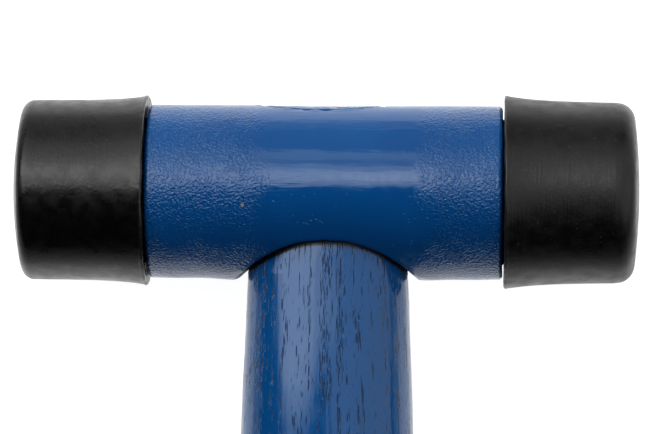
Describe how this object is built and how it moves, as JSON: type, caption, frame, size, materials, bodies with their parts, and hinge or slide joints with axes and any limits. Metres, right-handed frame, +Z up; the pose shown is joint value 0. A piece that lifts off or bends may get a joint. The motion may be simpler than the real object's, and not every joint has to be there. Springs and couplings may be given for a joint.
{
  "type": "dead blow mallet",
  "caption": "Dead blow mallet with a round blue cast head holding loose steel shot, pull-off black rubber tips and a blue painted wooden handle wedged in an oval eye.",
  "frame": {"origin": "centre of the bounding box at the bench the mallet lies on", "axes": "+X along the head towards the right-hand tip, +Y from the handle's butt towards the top of the head, +Z up from the bench"},
  "size_m": [0.127, 0.3078, 0.0394],
  "materials": {
    "cast_head_paint": "gloss",
    "handle_paint": "gloss",
    "black_rubber": "satin",
    "plug_steel": "satin",
    "seal_rubber": "matte",
    "shot_steel": "polished",
    "wedge_wood": "matte",
    "wedge_steel": "satin"
  },
  "bodies": {
    "head": {"head_casing": "cast_head_paint", "handle": "handle_paint", "wood_wedge": "wedge_wood", "steel_wedge": "wedge_steel", "end_plug_left": "plug_steel", "end_plug_right": "plug_steel", "plug_seal_left": "seal_rubber", "plug_seal_right": "seal_rubber"},
    "tip_left": {"rubber_tip_left": "black_rubber"},
    "tip_right": {"rubber_tip_right": "black_rubber"},
    "shot_charge_left": {"shot_left_01": "shot_steel", "shot_left_02": "shot_steel", "shot_left_03": "shot_steel", "shot_left_04": "shot_steel", "shot_left_05": "shot_steel", "shot_left_06": "shot_steel", "shot_left_07": "shot_steel", "shot_left_08": "shot_steel", "shot_left_09": "shot_steel", "shot_left_10": "shot_steel", "shot_left_11": "shot_steel", "shot_left_12": "shot_steel", "shot_left_13": "shot_steel", "shot_left_14": "shot_steel", "shot_left_15": "shot_steel", "shot_left_16": "shot_steel", "shot_left_17": "shot_steel"},
    "shot_charge_right": {"shot_right_01": "shot_steel", "shot_right_02": "shot_steel", "shot_right_03": "shot_steel", "shot_right_04": "shot_steel", "shot_right_05": "shot_steel", "shot_right_06": "shot_steel", "shot_right_07": "shot_steel", "shot_right_08": "shot_steel", "shot_right_09": "shot_steel", "shot_right_10": "shot_steel", "shot_right_11": "shot_steel", "shot_right_12": "shot_steel", "shot_right_13": "shot_steel", "shot_right_14": "shot_steel", "shot_right_15": "shot_steel", "shot_right_16": "shot_steel", "shot_right_17": "shot_steel"}
  },
  "joints": [
    {"name": "tip_left_pull_off", "type": "slide", "parent": "head", "child": "tip_left", "axis": [-1, 0, 0], "range_m": [0, 0.03]},
    {"name": "tip_right_pull_off", "type": "slide", "parent": "head", "child": "tip_right", "axis": [1, 0, 0], "range_m": [0, 0.03]},
    {"name": "shot_left_throw", "type": "slide", "parent": "head", "child": "shot_charge_left", "axis": [1, 0, 0], "range_m": [-0.002, 0.002]},
    {"name": "shot_right_throw", "type": "slide", "parent": "head", "child": "shot_charge_right", "axis": [1, 0, 0], "range_m": [-0.002, 0.002]}
  ]
}
